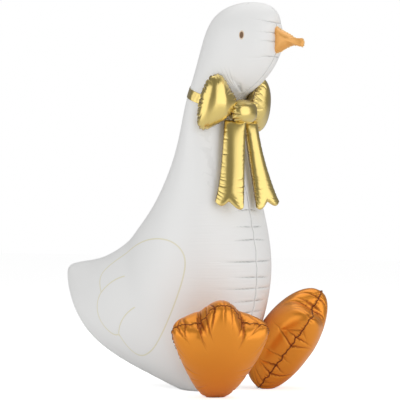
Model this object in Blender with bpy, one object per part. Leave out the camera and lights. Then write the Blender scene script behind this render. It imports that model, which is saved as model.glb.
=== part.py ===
"""Sitting goose foil balloon, standing height 1.24 m.

Metres, +Z up. The goose faces -Y and +X is its own left side. The origin is on the floor, in the
middle of the flat spot that its belly rests on. Every piece is an inflated foil cushion: two
sheets welded along a seam, so each is modelled as a closed form with its seam as one edge line.
"""
import math

import bmesh
import bpy
import numpy as np

# The figure, in metres. Its pose and profile are shares of this height.
FIGURE_HEIGHT = 1.240
GAP = 0.0004                    # clear space between two touching pieces
BODY_SEGMENTS = 28              # flats round one ring of the body
BODY_RINGS = 50                 # rings from the tail to the head, without those at the creases
CREASE_DEPTH = 0.006            # how far a breast crease pulls the foil in
CREASE_HALF_WIDTH = 0.007
CREASE_SHORTNESS = 8            # power of the cosine that fades a crease out to both sides
BELLY_SQUASH = 0.012            # how far the belly's lowest skin settles on the floor
BELLY_EASE = 0.030              # height over which that settling fades out

# The neck band, a flat inflated ribbon under the head
BAND_WIDTH = 0.030
BAND_THICKNESS = 0.012
BAND_SUNK = 0.002               # its inner side is drawn this deep, then cut clear of the neck
BAND_TILT_DEG = 22.0            # how far it slopes down towards the knot
BOW_TURN_DEG = 8.0              # the bow has slipped round the neck to the goose's right

# The bow, tied in front of the band
KNOT_HALF_WIDTH = 0.055
KNOT_HALF_HEIGHT = 0.039
KNOT_HALF_DEPTH = 0.036
KNOT_DROP = 0.010               # how far the knot hangs below the band
KNOT_SQUARENESS = 2.5           # 2 is an ellipse, more is a rounded box
LOOP_LENGTH = 0.123             # from the knot's end to the loop's outer edge
LOOP_TUCK = 0.008               # how far a loop reaches in behind the knot's end
LOOP_FRONT_BULGE = 0.041
LOOP_BACK_BULGE = 0.022
LOOP_SWEEP_DEG = 28.0           # how far each loop bends back round the neck
LOOP_LEAN_DEG = 8.0             # how far the top of each loop leans forward
LOOP_DROP = 0.004               # how far the loops hang below the knot's middle
TAIL_LENGTH = 0.285
TAIL_TOP_HALF_WIDTH = 0.023
TAIL_END_HALF_WIDTH = 0.041
TAIL_BULGE = 0.018
TAIL_FLATNESS = 0.8             # 1 lies flat on the breast, 0 faces straight ahead
TAIL_TOP_SPREAD = 0.038         # from the knot's middle to a tail's middle, at the top
TAIL_END_SPREAD = 0.080
TAIL_NOTCH = 0.024
TAIL_FORK_PLACE = 0.62          # share of the half-width out to the longest point of a fork
TAIL_CORNER_CUT = 1.6           # how much faster the end rises outside that point
TAIL_ROUNDING = 10              # power of the rounding at both ends, more is squarer
TAIL_START = 0.7                # share of the knot's half-height down to where the tails begin
TAIL_SLANT = 0.009              # how much longer the inner edge is than the middle
TAIL_DRIFT = (0.005, 0.044)     # how far the pair hangs to the goose's right, top and end
TAIL_TURN_DEG = 14.0            # how far both tails are twisted to the goose's right

# The beak, a small cushion welded on at the face
BEAK_LENGTH = 0.096             # from the face to the tip
BEAK_HALF_WIDTH = 0.027

# The feet, three toes in front and a narrow heel on the floor
FOOT_LENGTH = 0.370
FOOT_HALF_WIDTH = 0.143
FOOT_FRONT_BULGE = 0.084
FOOT_BACK_BULGE = 0.102
FOOT_FLOOR_SQUASH = 0.003       # depth of heel flattened on the floor
FOOT_GROOVE = 0.3               # share of the bulge lost between two toes
FOOT_GROOVE_DEG = 7.0           # half-width of that groove, seen from the foot's centre
FOOT_CORE_REACH = 3             # seam points averaged each way for the foot's plainer middle

# Profile of the figure at a few places chosen from tail to head: where the ring there meets the
# back seam (forward, up) and the belly seam (forward, up), and its half-width. A smooth curve runs
# through them. They are shares of the figure's height, written for one of DRAWN_HEIGHT.
DRAWN_HEIGHT = 1240.0
PROFILE = (
    (-510, 400, -515, 290, 55),      # tail
    (-395, 420, -400, 140, 130),
    (-280, 470, -165, 35, 195),
    (-230, 510, 20, -10, 220),       # lowest place of the belly
    (-190, 550, 120, 60, 240),
    (-120, 635, 205, 315, 230),      # fullest place of the breast
    (-60, 775, 180, 585, 175),
    (-25, 910, 125, 870, 135),       # throat
    (-5, 1010, 170, 955, 115),
    (20, 1110, 245, 1015, 110),
    (80, 1210, 285, 1080, 100),      # crown
    (215, 1235, 290, 1120, 60))
TAIL_TIP = (-545, 360)
FACE_TIP = (282, 1170)
BREAST_CREASES = (580, 525, 485, 415, 365, 330, 290, 255)   # heights on the belly seam
NAPE = (-15, 964)               # forward place and height where the band crosses the nape
THROAT_HEIGHT = 900             # where the knot is tied
NECK_AXIS = 60                  # forward place of the neck's middle, there
BEAK_HEIGHT = 1113              # height of the beak's middle

# Each foot: its side, its heel's place to the left and forward in the same shares, and in degrees
# its turn to the left and its lean forward.
FEET = (("right", -160, 153, -49.0, 40.0),
        ("left", 118, 136, 39.0, 34.0))

# Half outline of a foot, heel to middle toe: share of the half-width, share of the length
FOOT_HALF_OUTLINE = ((0.0, 0.0), (0.30, 0.025), (0.67, 0.30), (0.98, 0.62), (0.93, 0.77),
                     (0.48, 0.81), (0.30, 0.91), (0.0, 1.0))
FOOT_CENTRE = 0.47              # share of the length, heel to the thickest place
FOOT_NOTCH_DEG = 27.0           # angle of the notch between two toes, seen from that centre

# Outline of a loop: distance from the knot's end and height, in shares of its length
LOOP_OUTLINE = ((-0.05, 0.20), (0.11, 0.50), (0.33, 0.80), (0.54, 0.87), (0.77, 0.70),
                (0.94, 0.20), (0.95, -0.26), (0.78, -0.40), (0.45, -0.285), (0.11, -0.11))
LOOP_CENTRE = (0.58, 0.19)

# Outline of the beak: forward of the face and height, in shares of its length
BEAK_OUTLINE = ((-0.20, 0.40), (0.05, 0.42), (0.45, 0.15), (0.72, -0.01), (0.93, -0.07),
                (0.93, -0.23), (0.70, -0.24), (0.30, -0.31), (-0.20, -0.42))
BEAK_CENTRE = (0.28, 0.0)


def smooth_rows(rows, at):
    """Read a smooth curve through the rows, numbered 0, 1, 2 and so on, at the given numbers."""
    rows = np.asarray(rows, float)
    rows = rows.reshape(len(rows), -1)
    count = len(rows)
    system = np.zeros((count, count))
    right = np.zeros_like(rows)
    system[0, :3] = 1, -2, 1
    system[-1, -3:] = 1, -2, 1
    for i in range(1, count - 1):
        system[i, i - 1:i + 2] = 1, 4, 1
        right[i] = 6 * (rows[i - 1] - 2 * rows[i] + rows[i + 1])
    bend = np.linalg.solve(system, right)
    at = np.asarray(at, float)
    low = np.clip(at.astype(int), 0, count - 2)
    part = (at - low)[..., None]
    rest = 1 - part
    return (rest * rows[low] + part * rows[low + 1]
            + ((rest ** 3 - rest) * bend[low] + (part ** 3 - part) * bend[low + 1]) / 6)


def world(side, forward, up):
    """Stack places given as left, forward and up into world coordinates."""
    return np.stack(np.broadcast_arrays(side, -np.asarray(forward, float), up), axis=-1)


def material(name, colour, roughness, metallic):
    finish = bpy.data.materials.new(name)
    finish.use_nodes = True
    shader = finish.node_tree.nodes["Principled BSDF"]
    shader.inputs["Base Color"].default_value = (*colour, 1.0)
    shader.inputs["Roughness"].default_value = roughness
    shader.inputs["Metallic"].default_value = metallic
    return finish


def solid(name, points, faces, finish=None):
    """Make one closed mesh object with its faces pointing out."""
    mesh = bpy.data.meshes.new(name)
    mesh.from_pydata([tuple(map(float, p)) for p in points], [], faces)
    if finish:
        mesh.materials.append(finish)
    shape = bmesh.new()
    shape.from_mesh(mesh)
    bmesh.ops.triangulate(shape, faces=shape.faces, quad_method='FIXED')
    bmesh.ops.recalc_face_normals(shape, faces=shape.faces)
    shape.to_mesh(mesh)
    shape.free()
    mesh.shade_smooth()
    mesh.set_sharp_from_angle(angle=math.radians(40))
    piece = bpy.data.objects.new(name, mesh)
    bpy.context.scene.collection.objects.link(piece)
    return piece


def ring_faces(rings, segments, closed=False):
    """Quads between neighbouring rings of points, numbered ring after ring."""
    faces = []
    for i in range(rings if closed else rings - 1):
        here, there = i * segments, (i + 1) % rings * segments
        for j in range(segments):
            k = (j + 1) % segments
            faces.append((here + j, here + k, there + k, there + j))
    return faces


def globe(name, rings, first, last, finish=None):
    """Close a stack of rings with a point at each end."""
    count, segments = rings.shape[:2]
    points = np.vstack([rings.reshape(-1, 3), [first, last]])
    faces = ring_faces(count, segments)
    start, end = count * segments, count * segments + 1
    for j in range(segments):
        k = (j + 1) % segments
        faces.append((start, k, j))
        faces.append((end, (count - 1) * segments + j, (count - 1) * segments + k))
    return solid(name, points, faces, finish)


def cutter(piece):
    """Keep a shape only as a tool that cuts its neighbours."""
    piece.hide_render = True
    piece.display_type = 'WIRE'
    return piece


def cut(piece, tools):
    for tool in tools:
        step = piece.modifiers.new("clear of " + tool.name, 'BOOLEAN')
        step.operation = 'DIFFERENCE'
        step.solver = 'EXACT'
        step.object = tool


# The figure's surface. A place on it has a ring number, from 0 at the tail tip to the last at
# the face, and a turn, 0 on the belly seam and pi on the back seam. The ring ranges below are
# where a height or a crossing is looked for.
BREAST_RINGS = (4.0, 7.5)
FRONT_RINGS = (5.0, 8.5)
NECK_RINGS = (6.5, 10.5)
HEAD_RING = 10.5
RING_STEP = 0.02                # small step along or round the surface, used to find its slope
SLOPE_STEP = 0.01               # the same, in metres to the side
UNIT = FIGURE_HEIGHT / DRAWN_HEIGHT
LAST_RING = len(PROFILE) + 1
PROFILE_ROWS = np.array([(*TAIL_TIP, *TAIL_TIP, 0), *PROFILE, (*FACE_TIP, *FACE_TIP, 0)]) * UNIT


def figure_point(ring, turn):
    """Left, forward and up of a place on the smooth figure."""
    row = smooth_rows(PROFILE_ROWS, ring)
    back, front = row[..., 0:2], row[..., 2:4]
    middle, half = (back + front) / 2, (front - back) / 2
    place = middle + half * np.cos(turn)[..., None]
    return np.maximum(row[..., 4], 0) * np.sin(turn), place[..., 0], place[..., 1]


def ring_at_belly_height(height):
    """Ring number where the belly seam passes a height on the breast."""
    rings = np.linspace(*BREAST_RINGS, 241)
    heights = smooth_rows(PROFILE_ROWS, rings)[:, 3]
    return float(np.interp(height, heights, rings))


def figure_rings():
    """Ring numbers for the mesh: even steps, and three rings for each breast crease."""
    creases = [ring_at_belly_height(h * UNIT) for h in BREAST_CREASES]
    heights = smooth_rows(PROFILE_ROWS, np.array(creases) + RING_STEP)[:, 3]
    widths = RING_STEP * CREASE_HALF_WIDTH / (heights - np.array(BREAST_CREASES) * UNIT)
    plain = np.linspace(0, LAST_RING, BODY_RINGS + 2)[1:-1]
    clear = [r for r in plain if all(abs(r - c) > 2 * w for c, w in zip(creases, widths))]
    sides = [c + k * w for c, w in zip(creases, widths) for k in (-1, 1)]
    return np.array(sorted(clear + creases + sides)), creases


def make_figure(name, grow=0.0, finish=None):
    """The white goose, tail to face, in one closed form."""
    rings, creases = figure_rings()
    turns = np.linspace(0, 2 * math.pi, BODY_SEGMENTS, endpoint=False)
    ring, turn = np.meshgrid(rings, turns, indexing="ij")
    side, forward, up = figure_point(ring, turn)
    pull = np.isin(ring, creases) * CREASE_DEPTH * np.clip(np.cos(turn), 0, 1) ** CREASE_SHORTNESS
    up = np.maximum(up - BELLY_SQUASH * np.exp(-np.maximum(up, 0) / BELLY_EASE), 0)
    points = world(side, forward - pull, up)
    first = world(0, TAIL_TIP[0] * UNIT, TAIL_TIP[1] * UNIT)
    last = world(0, FACE_TIP[0] * UNIT, FACE_TIP[1] * UNIT)
    piece = globe(name, points, first, last, finish)
    if grow:
        normals = [v.normal.copy() for v in piece.data.vertices]
        for vertex, normal in zip(piece.data.vertices, normals):
            vertex.co += normal * grow
    return piece


def cushion(name, centre, outline, across, along, normal, front, back, levels, finish=None,
            groove=0.0, core=None, groove_reach=6, seam_reach=4):
    """An inflated cushion from a closed seam outline, seen from its centre.

    outline holds the seam's places (across, along) measured from centre, and front and back are
    how far the two sheets bulge out of the seam's plane. groove is the share of the bulge lost
    towards each place of the seam, and core is the plainer outline of the swollen middle. The two
    reaches are powers: the larger, the closer the groove or the seam's own outline stays to it.
    """
    outline = np.asarray(outline, float)
    core = outline if core is None else core
    angles = np.linspace(-math.pi / 2, math.pi / 2, 2 * levels + 1)[1:-1]
    rings = []
    for angle in angles:
        bulge = (front if angle > 0 else back) * math.sin(angle)
        level = bulge * (1 - groove * math.cos(angle) ** groove_reach) * np.ones(len(outline))
        share = math.cos(angle) ** seam_reach
        flat = (outline * share + core * (1 - share)) * math.cos(angle)
        rings.append(centre + flat[:, :1] * across + flat[:, 1:] * along + level[:, None] * normal)
    return globe(name, np.array(rings), centre - back * normal, centre + front * normal, finish)


def closed_curve(points, count):
    """Places evenly spread along a smooth closed curve through the points."""
    points = [tuple(p) for p in points]
    wrapped = points[-3:] + points + points[:3]
    return smooth_rows(wrapped, 3 + np.linspace(0, len(points), count, endpoint=False))


def make_band(name, grow=0.0, finish=None, segments=28, flats=6):
    """The ribbon round the neck: a closed ring that lies on the figure's surface."""
    tilt = math.radians(BAND_TILT_DEG)
    table = np.linspace(*NECK_RINGS, 241)
    turns = np.linspace(0, 2 * math.pi, segments, endpoint=False)
    half = BAND_WIDTH / 2 + grow
    sections = []
    for turn in turns:
        side, forward, up = figure_point(table, np.full_like(table, turn))
        past = ((forward - NAPE[0] * UNIT) * math.sin(tilt)
                + (up - NAPE[1] * UNIT) * math.cos(tilt))
        section = []
        for angle in np.linspace(0, 2 * math.pi, flats, endpoint=False):
            ring = np.interp(half * math.cos(angle), past, table)
            here = np.array(figure_point(np.array([ring]), np.array([turn])))[:, 0]
            ahead = np.array(figure_point(np.array([ring + RING_STEP]), np.array([turn])))[:, 0]
            beside = np.array(figure_point(np.array([ring]), np.array([turn + RING_STEP])))[:, 0]
            out = np.cross(beside - here, ahead - here)
            out /= np.linalg.norm(out)
            rise = math.sin(angle)
            lift = (BAND_THICKNESS + grow) * rise if rise > 0 else -BAND_SUNK
            section.append(here + out * lift)
        sections.append(section)
    points = np.array(sections)
    points = world(points[..., 0], points[..., 1], points[..., 2])
    return solid(name, points.reshape(-1, 3), ring_faces(segments, flats, closed=True), finish)


def front_of_figure(side, up):
    """How far forward the figure's breast or throat is at a place to the left and a height."""
    table = np.linspace(*FRONT_RINGS, 281)
    row = smooth_rows(PROFILE_ROWS, table)
    slice_share = np.sqrt(np.clip(1 - (side / row[:, 4]) ** 2, 0, 1))
    middle, half = (row[:, :2] + row[:, 2:4]) / 2, (row[:, 2:4] - row[:, :2]) / 2
    forward = middle[:, 0] + half[:, 0] * slice_share
    height = middle[:, 1] + half[:, 1] * slice_share
    return float(np.interp(up, height, forward))


def bow_frame():
    """The knot's middle, and the bow's own left and forward directions."""
    turn = -math.radians(BOW_TURN_DEG)
    left = world(math.cos(turn), -math.sin(turn), 0)
    ahead = world(math.sin(turn), math.cos(turn), 0)
    tilt = math.radians(BAND_TILT_DEG)
    throat = front_of_figure(0.0, THROAT_HEIGHT * UNIT)
    height = NAPE[1] * UNIT - math.tan(tilt) * (throat - NAPE[0] * UNIT) - KNOT_DROP
    reach = throat - NECK_AXIS * UNIT + 0.5 * BAND_THICKNESS + KNOT_HALF_DEPTH
    knot = world(0, NECK_AXIS * UNIT, height) + reach * ahead
    return knot, left, ahead


def make_knot(name, grow=0.0, finish=None):
    knot, left, ahead = bow_frame()
    outline = []
    for angle in np.linspace(0, 2 * math.pi, 24, endpoint=False):
        c, s = math.cos(angle), math.sin(angle)
        radius = (abs(c) ** KNOT_SQUARENESS + abs(s) ** KNOT_SQUARENESS) ** (-1 / KNOT_SQUARENESS)
        outline.append((radius * c * (KNOT_HALF_WIDTH + grow),
                        radius * s * (KNOT_HALF_HEIGHT + grow)))
    depth = KNOT_HALF_DEPTH + grow
    return cushion(name, knot, outline, left, np.array((0, 0, 1.0)), ahead, depth, depth,
                   levels=5, finish=finish)


def make_loop(name, sign, finish):
    """One loop of the bow, sign 1 for the goose's left and -1 for its right."""
    knot, left, ahead = bow_frame()
    sweep = math.radians(LOOP_SWEEP_DEG)
    out = sign * left * math.cos(sweep) - ahead * math.sin(sweep)
    level_face = sign * left * math.sin(sweep) + ahead * math.cos(sweep)
    lean = math.radians(LOOP_LEAN_DEG)
    up = np.array((0, 0, 1.0))
    along = up * math.cos(lean) + level_face * math.sin(lean)
    face = level_face * math.cos(lean) - up * math.sin(lean)
    end = knot + sign * left * (KNOT_HALF_WIDTH - LOOP_TUCK) - up * LOOP_DROP
    middle = np.array(LOOP_CENTRE) * LOOP_LENGTH
    outline = closed_curve(np.array(LOOP_OUTLINE) * LOOP_LENGTH, 28) - middle
    centre = end + middle[0] * out + middle[1] * along
    return cushion(name, centre, outline, out, along, face,
                   LOOP_FRONT_BULGE, LOOP_BACK_BULGE, levels=5, finish=finish)


def make_tail(name, sign, finish, steps=12, strips=8):
    """One hanging tail with a forked end, lying in front of the breast."""
    knot, _, _ = bow_frame()
    start = knot[2] - KNOT_HALF_HEIGHT * TAIL_START
    twist = math.radians(TAIL_TURN_DEG)
    points, index = [], {}
    for i in range(steps + 1):
        along = i / steps
        for j in range(strips + 1):
            v = 2 * j / strips - 1
            fork = 1 - abs(v) / TAIL_FORK_PLACE
            notch = TAIL_NOTCH * fork ** 2 * (1 if fork > 0 else TAIL_CORNER_CUT)
            length = TAIL_LENGTH - (notch + sign * v * TAIL_SLANT) * along ** 3
            up = start - along * length
            spread = TAIL_TOP_SPREAD + (TAIL_END_SPREAD - TAIL_TOP_SPREAD) * along ** 1.2
            wide = TAIL_TOP_HALF_WIDTH + (TAIL_END_HALF_WIDTH - TAIL_TOP_HALF_WIDTH) * along ** 2
            middle = sign * spread - TAIL_DRIFT[0] - (TAIL_DRIFT[1] - TAIL_DRIFT[0]) * along
            skin = front_of_figure(middle, up)
            beside = [front_of_figure(middle + step, up) for step in (-SLOPE_STEP, SLOPE_STEP)]
            slope = (beside[1] - beside[0]) / (2 * SLOPE_STEP)
            resting = math.atan(-slope)
            facing = TAIL_FLATNESS * resting - twist
            lift = TAIL_BULGE + 5 * GAP + wide * abs(math.sin(resting - facing))
            bulge = TAIL_BULGE * math.sqrt(max(1 - v * v, 0))
            bulge *= math.sqrt(max(1 - along ** TAIL_ROUNDING, 0))
            bulge *= math.sqrt(max(1 - (1 - along) ** TAIL_ROUNDING, 0))
            side = middle + v * wide * math.cos(facing)
            forward = skin + lift - v * wide * math.sin(facing)
            edge = i in (0, steps) or j in (0, strips)
            for sheet in ((0,) if edge else (1, -1)):
                index[i, j, sheet] = len(points)
                points.append(world(side + sheet * bulge * math.sin(facing),
                                    forward + sheet * bulge * math.cos(facing), up))
                if edge:
                    index[i, j, 1] = index[i, j, -1] = index[i, j, 0]
    faces = []
    for i in range(steps):
        for j in range(strips):
            for sheet in (1, -1):
                corners = [index[a, b, sheet] for a, b in
                           ((i, j), (i + 1, j), (i + 1, j + 1), (i, j + 1))]
                faces.append(corners if sheet > 0 else corners[::-1])
    return solid(name, points, faces, finish)


def make_beak(name, finish):
    face = max(smooth_rows(PROFILE_ROWS, np.linspace(HEAD_RING, LAST_RING, 80))[:, 2])
    centre = world(0, face + BEAK_CENTRE[0] * BEAK_LENGTH,
                   BEAK_HEIGHT * UNIT + BEAK_CENTRE[1] * BEAK_LENGTH)
    outline = (closed_curve(BEAK_OUTLINE, 26) - np.array(BEAK_CENTRE)) * BEAK_LENGTH
    return cushion(name, centre, outline, world(0, 1, 0), world(0, 0, 1), world(1, 0, 0),
                   BEAK_HALF_WIDTH, BEAK_HALF_WIDTH, levels=4, finish=finish)


def make_foot(name, heel_left, heel_forward, turn_deg, lean_deg, finish):
    """A three-toed foot on its heel, toes up, leaning forward and turned out."""
    turn, lean = math.radians(turn_deg), math.radians(lean_deg)
    across = world(math.cos(turn), -math.sin(turn), 0)
    facing = world(math.sin(turn), math.cos(turn), 0)
    up = np.array((0, 0, 1.0))
    along = facing * math.sin(lean) + up * math.cos(lean)
    sole = facing * math.cos(lean) - up * math.sin(lean)
    half = [(x * FOOT_HALF_WIDTH, y * FOOT_LENGTH) for x, y in FOOT_HALF_OUTLINE]
    seam = half + [(-x, y) for x, y in half[-2:0:-1]]
    outline = closed_curve(seam, 32) - np.array((0, FOOT_CENTRE * FOOT_LENGTH))
    near = range(-FOOT_CORE_REACH, FOOT_CORE_REACH + 1)
    core = sum(np.roll(outline, k, axis=0) for k in near) / len(near)
    core *= np.abs(outline).max() / np.abs(core).max()
    bearing = np.degrees(np.arctan2(np.abs(outline[:, 0]), outline[:, 1]))
    groove = FOOT_GROOVE * np.exp(-((bearing - FOOT_NOTCH_DEG) / FOOT_GROOVE_DEG) ** 2)
    heel = world(heel_left * UNIT, heel_forward * UNIT, 0)
    centre = heel + FOOT_CENTRE * FOOT_LENGTH * along
    piece = cushion(name, centre, outline, across, along, sole, FOOT_FRONT_BULGE,
                    FOOT_BACK_BULGE, levels=7, finish=finish, groove=groove, core=core)
    lowest = min(v.co.z for v in piece.data.vertices)
    for vertex in piece.data.vertices:
        vertex.co.z = max(vertex.co.z - lowest - FOOT_FLOOR_SQUASH, 0)
    return piece


def main():
    for old in list(bpy.data.objects):
        bpy.data.objects.remove(old)
    white = material("white foil", (0.80, 0.80, 0.79), 0.45, 0.0)
    gold = material("gold foil", (0.68, 0.46, 0.09), 0.22, 1.0)
    orange = material("orange foil", (0.76, 0.29, 0.05), 0.38, 0.2)
    pale_orange = material("pale orange foil", (0.87, 0.44, 0.12), 0.38, 0.1)

    make_figure("body", finish=white)
    body_tool = cutter(make_figure("body clearance", grow=GAP))

    band = make_band("neck_band", finish=gold)
    cut(band, [body_tool])
    band_tool = cutter(make_band("band clearance", grow=GAP))
    knot = make_knot("bow_knot", finish=gold)
    cut(knot, [body_tool, band_tool])
    knot_tool = cutter(make_knot("knot clearance", grow=GAP))
    for side, sign in (("right", -1), ("left", 1)):
        loop = make_loop("bow_loop_" + side, sign, gold)
        cut(loop, [body_tool, band_tool, knot_tool])
        tail = make_tail("bow_tail_" + side, sign, gold)
        cut(tail, [body_tool, band_tool, knot_tool])

    cut(make_beak("beak", pale_orange), [body_tool])
    for side, heel_left, heel_forward, turn, lean in FEET:
        foot = make_foot("foot_" + side, heel_left, heel_forward, turn, lean, orange)
        cut(foot, [body_tool])


main()
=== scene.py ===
import math

import bpy
import numpy as np
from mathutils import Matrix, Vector
from mathutils.bvhtree import BVHTree

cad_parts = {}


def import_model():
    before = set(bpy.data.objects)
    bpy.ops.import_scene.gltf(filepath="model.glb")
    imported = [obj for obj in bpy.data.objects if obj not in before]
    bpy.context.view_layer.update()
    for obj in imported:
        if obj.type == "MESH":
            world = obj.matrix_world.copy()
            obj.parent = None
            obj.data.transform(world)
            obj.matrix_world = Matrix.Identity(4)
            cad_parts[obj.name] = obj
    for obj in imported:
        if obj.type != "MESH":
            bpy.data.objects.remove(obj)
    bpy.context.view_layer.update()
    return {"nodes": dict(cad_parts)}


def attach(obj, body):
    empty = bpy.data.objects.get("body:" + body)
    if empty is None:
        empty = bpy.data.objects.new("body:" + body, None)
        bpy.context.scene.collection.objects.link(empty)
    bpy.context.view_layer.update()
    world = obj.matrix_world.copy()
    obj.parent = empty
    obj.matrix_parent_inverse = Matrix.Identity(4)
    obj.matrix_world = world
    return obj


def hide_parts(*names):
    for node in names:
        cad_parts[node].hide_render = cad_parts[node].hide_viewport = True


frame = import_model()

# %% [markdown]
# The camera comes first, because everything is judged from it. The photograph was taken from the
# goose's right and ahead, at half its height, with a long lens. So the camera stands 6 m away,
# level, and a small shift puts the goose where it is in the frame.
# %% camera
VIEW_TURN_DEG = -55.0
VIEW_DISTANCE = 6.0
VIEW_TARGET = (0.0, 0.05, 0.6)
VIEW_LENS_MM = 166.3

turn = math.radians(VIEW_TURN_DEG)
lens = bpy.data.cameras.new("photo lens")
lens.lens = VIEW_LENS_MM
lens.sensor_width = 36.0
lens.shift_x, lens.shift_y = 0.025, 0.0075
camera = bpy.data.objects.new("photo camera", lens)
camera.location = Vector(VIEW_TARGET) + VIEW_DISTANCE * Vector((math.sin(turn), -math.cos(turn), 0))
camera.rotation_euler = (math.pi / 2, 0, turn)
bpy.context.scene.collection.objects.link(camera)
bpy.context.scene.camera = camera
print("camera at", [round(v, 2) for v in camera.location])

# %% [markdown]
# Every outline here is a smooth curve through a few chosen places. A spline does that: it bends
# as little as it can between them. A closed outline is read at even steps of its length, so that
# the foil's mesh is as fine at a toe as along a flank.
# %% smooth curves
MM = 0.001


def smooth_rows(rows, at):
    """Read a smooth curve through the rows, numbered 0, 1, 2 and so on, at the given numbers."""
    rows = np.asarray(rows, float)
    count = len(rows)
    system = np.zeros((count, count))
    right = np.zeros_like(rows)
    system[0, :3] = 1, -2, 1
    system[-1, -3:] = 1, -2, 1
    for i in range(1, count - 1):
        system[i, i - 1:i + 2] = 1, 4, 1
        right[i] = 6 * (rows[i - 1] - 2 * rows[i] + rows[i + 1])
    bend = np.linalg.solve(system, right)
    at = np.asarray(at, float)
    low = np.clip(at.astype(int), 0, count - 2)
    part = (at - low)[..., None]
    rest = 1 - part
    return (rest * rows[low] + part * rows[low + 1]
            + ((rest ** 3 - rest) * bend[low] + (part ** 3 - part) * bend[low + 1]) / 6)


def closed_curve(points, count):
    """Places at even steps along a smooth closed curve through the points."""
    points = [tuple(p) for p in points]
    wrapped = points[-3:] + points + points[:3]
    fine = smooth_rows(wrapped, 3 + np.linspace(0, len(points), 40 * len(points) + 1))
    length = np.concatenate([[0], np.cumsum(np.linalg.norm(np.diff(fine, axis=0), axis=1))])
    even = np.linspace(0, length[-1], count, endpoint=False)
    return np.stack([np.interp(even, length, fine[:, k]) for k in range(2)], axis=1)


def soft_step(values, low, high):
    """0 below the low value, 1 above the high one, and smooth between them."""
    share = np.clip((values - low) / (high - low), 0, 1)
    return share * share * (3 - 2 * share)


def world(side, forward, up):
    """Places given as left, forward and up, in the frame's X, Y and Z. The goose faces -Y."""
    return np.stack(np.broadcast_arrays(side, -np.asarray(forward, float), up), axis=-1)


print("the square of 1.5, read from a curve:", smooth_rows([[0], [1], [4], [9]], 1.5).round(3))

# %% [markdown]
# The white figure is one balloon with one seam, which runs up the breast, over the head and down
# the back. Cut across, it is an oval between the back seam and the belly seam. So a few rings
# are chosen from tail to head, and all the others follow from smooth curves through them.
# %% the figure's surface
PROFILE_MM = (
    (-545, 360, -545, 360, 0),       # tip of the tail
    (-510, 400, -515, 290, 55),
    (-395, 420, -400, 140, 130),
    (-280, 470, -165, 35, 195),
    (-230, 510, 20, -10, 220),       # lowest place of the belly
    (-190, 550, 120, 60, 240),
    (-120, 635, 205, 315, 230),      # fullest place of the breast
    (-60, 775, 180, 585, 175),
    (-25, 910, 125, 870, 135),       # throat
    (-5, 1010, 170, 955, 115),
    (20, 1110, 245, 1015, 110),
    (80, 1210, 285, 1080, 100),      # crown
    (215, 1235, 290, 1120, 60),
    (282, 1170, 282, 1170, 0))       # face
BELLY_SQUASH = 12 * MM
BELLY_EASE = 30 * MM

profile = np.array(PROFILE_MM) * MM
LAST_RING = len(profile) - 1


def figure_point(ring, turn):
    """Left, forward and up of a place: turn is 0 on the belly seam and pi on the back seam."""
    row = smooth_rows(profile, ring)
    back, front = row[..., 0:2], row[..., 2:4]
    middle, half = (back + front) / 2, (front - back) / 2
    place = middle + half * np.cos(turn)[..., None]
    up = place[..., 1]
    settled = up - BELLY_SQUASH * np.exp(-np.maximum(up, 0) / BELLY_EASE)
    return np.maximum(row[..., 4], 0) * np.sin(turn), place[..., 0], np.maximum(settled, 0)


def level_line(height, turns, rings):
    """Places of the figure at one height, one for each turn, looked for between two rings."""
    table = np.linspace(*rings, 300)
    places = []
    for turn, up in zip(turns, np.broadcast_to(height, np.shape(turns))):
        ups = figure_point(table, np.full_like(table, turn))[2]
        ring = np.interp(up, ups, table)
        places.append(world(*figure_point(np.array(ring), np.array(turn))))
    return np.array(places)


print("the figure has", len(profile), "rings and is", 2 * profile[:, 4].max() / MM, "mm wide")

# %% [markdown]
# Foil can't stretch, so where a flat sheet is blown round it gathers into pleats. A pleat is a
# sharp valley that starts at the seam and runs out into the smooth middle of the sheet. Each is
# pressed into the mesh along a path, deepest on the path itself, with a depth for each place.
# %% pleats
PLEAT_SHARPNESS = 1.3            # 1 is a knife-sharp valley, 2 a round one


def outward(grid):
    """Which way is out at each place of a grid of rows and columns that closes round itself."""
    along = np.gradient(grid, axis=0)
    around = np.roll(grid, -1, axis=1) - np.roll(grid, 1, axis=1)
    out = np.cross(around, along)
    out /= np.maximum(np.linalg.norm(out, axis=-1, keepdims=True), 1e-12)
    away = grid - grid.mean(axis=1, keepdims=True)
    return out if (out * away).sum() > 0 else -out


def press(level, grid, path, depths, width):
    """Press a valley of the given half-width into a sheet along a path."""
    path, depths = np.asarray(path), np.broadcast_to(depths, len(path))
    reach = 3 * width
    near = np.all((grid > path.min(0) - reach) & (grid < path.max(0) + reach), axis=-1)
    spots = grid[near]
    nearest = np.full(len(spots), np.inf)
    depth = np.zeros(len(spots))
    for a, b, deep_a, deep_b in zip(path[:-1], path[1:], depths[:-1], depths[1:]):
        edge = b - a
        share = np.clip((spots - a) @ edge / max(edge @ edge, 1e-12), 0, 1)
        gap = np.linalg.norm(spots - a - share[:, None] * edge, axis=1)
        closer = gap < nearest
        nearest = np.where(closer, gap, nearest)
        depth = np.where(closer, deep_a + (deep_b - deep_a) * share, depth)
    valley = -depth * np.exp(-(nearest / width) ** PLEAT_SHARPNESS)
    level[near] = np.minimum(level[near], valley)


print("at its half-width a valley still has", round(math.exp(-1), 2), "of its depth")

# %% [markdown]
# A cushion's seam is drawn up all the way round, because its edge is curved and the foil's middle
# is not. So pleats cross the seam at uneven steps. Each runs on over both sheets, with a length
# and a lean of its own, as no two are alike on a real one.
# %% pleats across a seam


def seam_distance(grid, seam):
    """How far each place is from the seam's row, measured along the foil."""
    steps = np.linalg.norm(np.diff(grid, axis=0), axis=-1)
    length = np.concatenate([np.zeros((1, grid.shape[1])), np.cumsum(steps, axis=0)])
    return np.abs(length - length[seam])


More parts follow.
